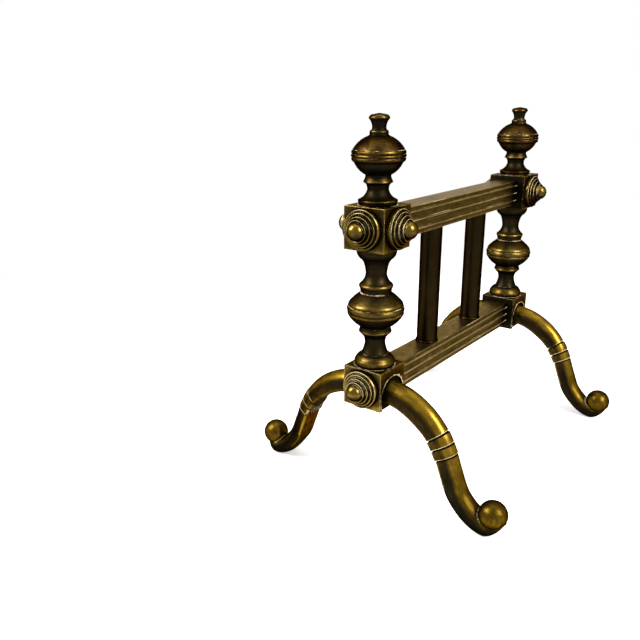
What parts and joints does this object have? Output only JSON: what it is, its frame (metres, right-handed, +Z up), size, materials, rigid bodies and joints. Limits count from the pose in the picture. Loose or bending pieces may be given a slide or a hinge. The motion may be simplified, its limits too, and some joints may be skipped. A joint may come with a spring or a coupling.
{
  "type": "andiron",
  "caption": "Low brass andiron: turned posts on square blocks, joined by reeded rails with plain spindles, on cabriole legs with ball toes.",
  "frame": {"origin": "on the floor, midway between the two posts", "axes": "+Z up, +Y along the rails from the front post to the rear post, +X to the right seen from the front"},
  "size_m": [0.1902, 0.252, 0.2415],
  "materials": {
    "turned_brass": "aged, dark in the hollows",
    "block_brass": "aged, satin",
    "rosette_brass": "aged, rubbed bright on the rings",
    "leg_brass": "aged, rubbed",
    "rail_brass": "aged, streaked",
    "dark_brass": "smoked, nearly black",
    "plain_steel": "plain"
  },
  "bodies": {
    "root": {"baluster_front": "turned_brass", "baluster_rear": "turned_brass", "finial_front": "turned_brass", "finial_rear": "turned_brass", "leg_front_left": "leg_brass", "leg_front_right": "leg_brass", "leg_rear_left": "leg_brass", "leg_rear_right": "leg_brass", "leg_stud_front_left": "plain_steel", "leg_stud_front_right": "plain_steel", "leg_stud_rear_left": "plain_steel", "leg_stud_rear_right": "plain_steel", "lower_block_front": "block_brass", "lower_block_rear": "block_brass", "rail_lower": "rail_brass", "rail_upper": "rail_brass", "rosette_lower_front_end": "rosette_brass", "rosette_lower_rear_end": "rosette_brass", "rosette_upper_front_end": "rosette_brass", "rosette_upper_front_left": "rosette_brass", "rosette_upper_front_right": "rosette_brass", "rosette_upper_rear_end": "rosette_brass", "rosette_upper_rear_left": "rosette_brass", "rosette_upper_rear_right": "rosette_brass", "spindle_1": "dark_brass", "spindle_2": "dark_brass", "tie_rod_front": "plain_steel", "tie_rod_nut_front": "plain_steel", "tie_rod_nut_rear": "plain_steel", "tie_rod_rear": "plain_steel", "tie_rod_washer_front": "plain_steel", "tie_rod_washer_rear": "plain_steel", "upper_block_front": "block_brass", "upper_block_rear": "block_brass"}
  },
  "joints": []
}
